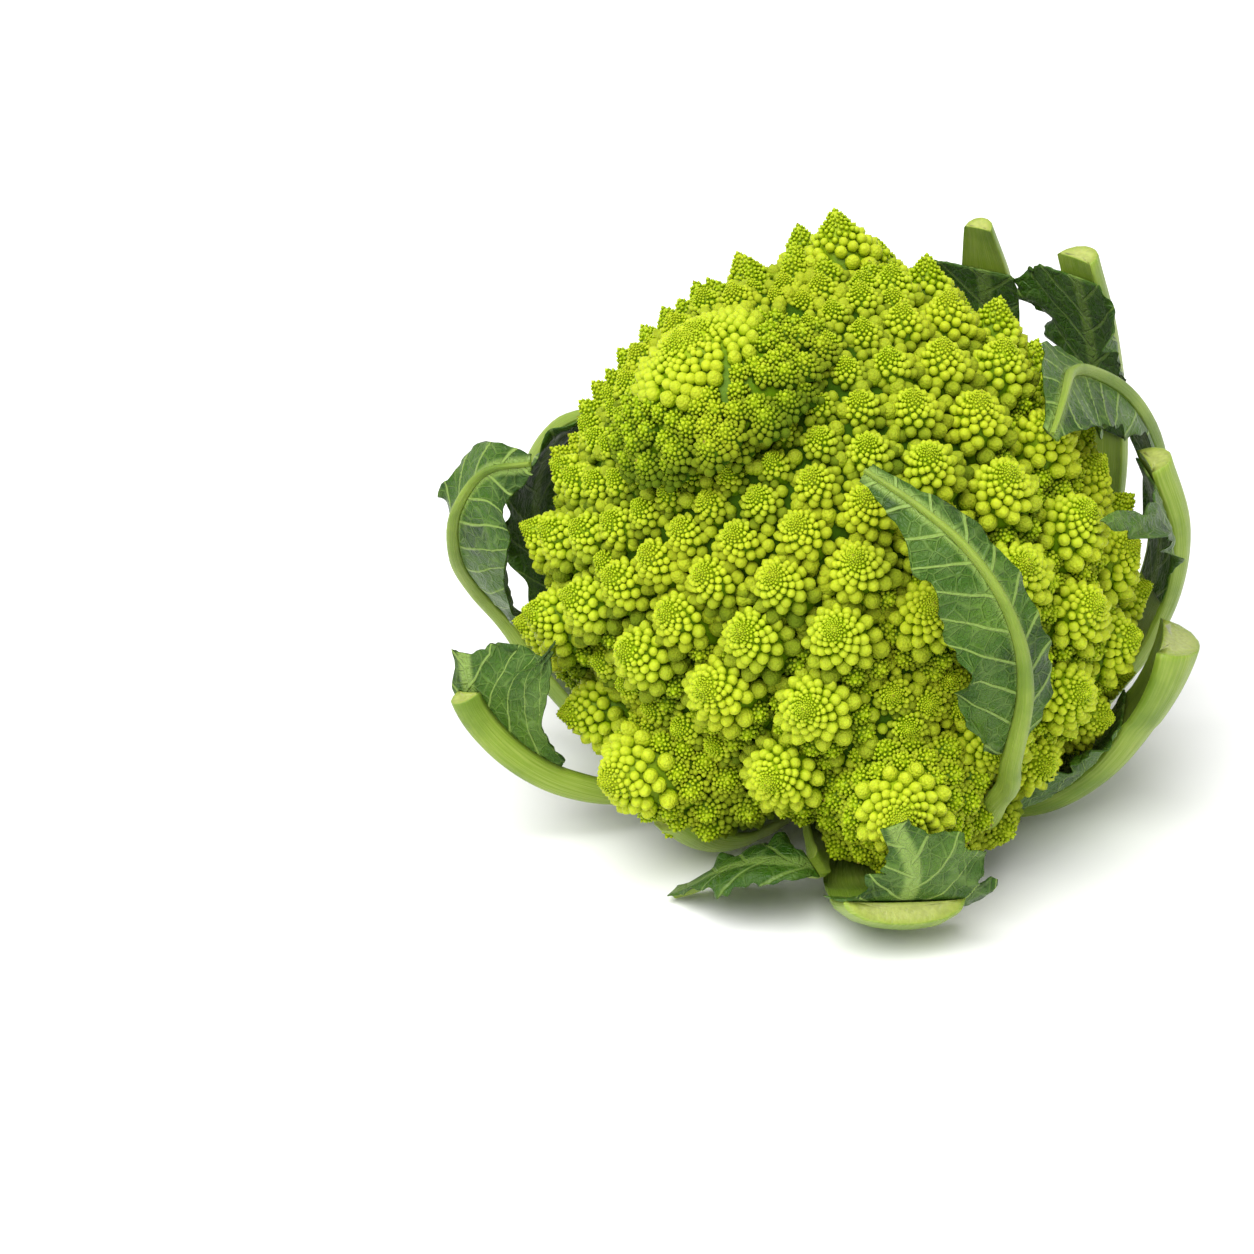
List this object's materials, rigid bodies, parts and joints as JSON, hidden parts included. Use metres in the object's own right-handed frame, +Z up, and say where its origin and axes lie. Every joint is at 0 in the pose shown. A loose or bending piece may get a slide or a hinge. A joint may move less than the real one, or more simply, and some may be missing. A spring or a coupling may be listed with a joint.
{
  "type": "romanesco head",
  "caption": "Romanesco head with a lime green curd of spiral cone florets on a short cut stalk, ringed by trimmed wrapper leaves.",
  "frame": {"origin": "centre of the stalk's flat cut face, where the head stands on a table", "axes": "+Z up along the stalk, -Y towards the picture's viewer, +X to the viewer's right; the curd's tip leans to the front left"},
  "size_m": [0.2026, 0.1951, 0.1644],
  "materials": {
    "curd": "lime green buds, waxy and slightly moist, darker green in the valleys between florets",
    "stalk": "pale green smooth skin with a moist paler cut face",
    "rib": "pale green fleshy leaf stalk with fine lengthwise ridges and a moist cut end",
    "leaf": "blue green waxy leaf with a dull bloom and raised pale veins"
  },
  "bodies": {
    "root": {"curd": "curd", "stalk": "stalk", "leaf_front_rib": "rib", "leaf_front_blade": "leaf", "leaf_right_low_rib": "rib", "leaf_right_low_blade": "leaf", "leaf_right_mid_rib": "rib", "leaf_right_mid_blade": "leaf", "leaf_right_high_rib": "rib", "leaf_right_high_blade": "leaf", "leaf_right_top_rib": "rib", "leaf_right_top_blade": "leaf", "leaf_back_right_rib": "rib", "leaf_back_right_blade": "leaf", "leaf_back_rib": "rib", "leaf_back_blade": "leaf", "leaf_back_mid_rib": "rib", "leaf_back_mid_blade": "leaf", "leaf_back_left_rib": "rib", "leaf_back_left_blade": "leaf", "leaf_left_high_rib": "rib", "leaf_left_high_blade": "leaf", "leaf_left_low_rib": "rib", "leaf_left_low_blade": "leaf", "leaf_front_left_rib": "rib", "leaf_table_rib": "rib", "leaf_table_blade": "leaf", "leaf_front_low_rib": "rib", "leaf_front_low_blade": "leaf"}
  },
  "joints": []
}
